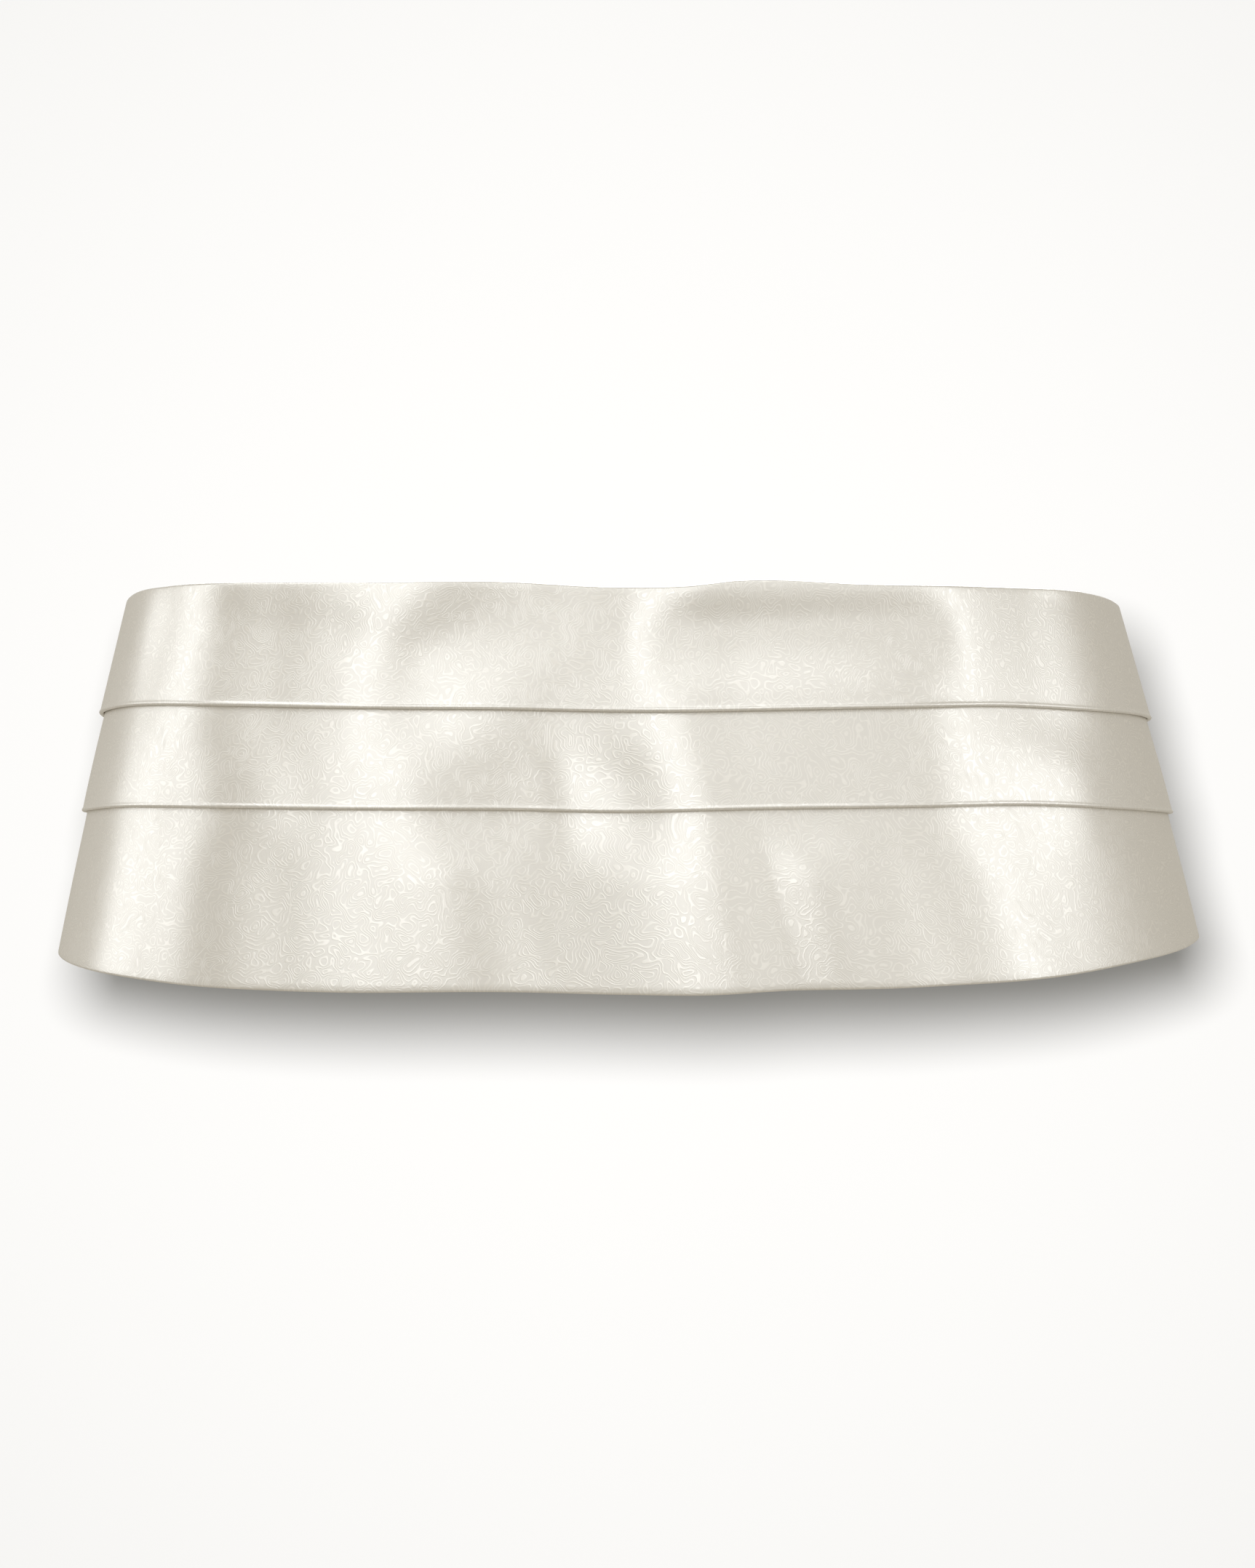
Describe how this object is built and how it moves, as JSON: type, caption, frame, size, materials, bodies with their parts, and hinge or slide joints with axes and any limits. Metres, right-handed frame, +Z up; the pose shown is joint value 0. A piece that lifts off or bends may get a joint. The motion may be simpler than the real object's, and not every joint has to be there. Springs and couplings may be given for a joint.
{
  "type": "cummerbund",
  "caption": "Pleated satin waist sash, filled out and closed round a general waist, with straps, a slider and a hook at the back.",
  "frame": {"origin": "middle of the hollow, at the height of the band's middle, where the waist that holds it would be", "axes": "+Z up along the waist, -Y towards the front, +X to the right of someone who faces the front"},
  "size_m": [0.3686, 0.2492, 0.1213],
  "materials": {
    "satin": "ivory satin with a fine squiggle texture",
    "strap_satin": "ivory satin strap, closely woven",
    "polished_metal": "polished"
  },
  "bodies": {
    "root": {"front_panel": "satin", "strap_ring_side": "strap_satin", "strap_slider_side": "strap_satin", "slider": "polished_metal", "hook": "polished_metal", "catch_ring": "polished_metal"}
  },
  "joints": []
}
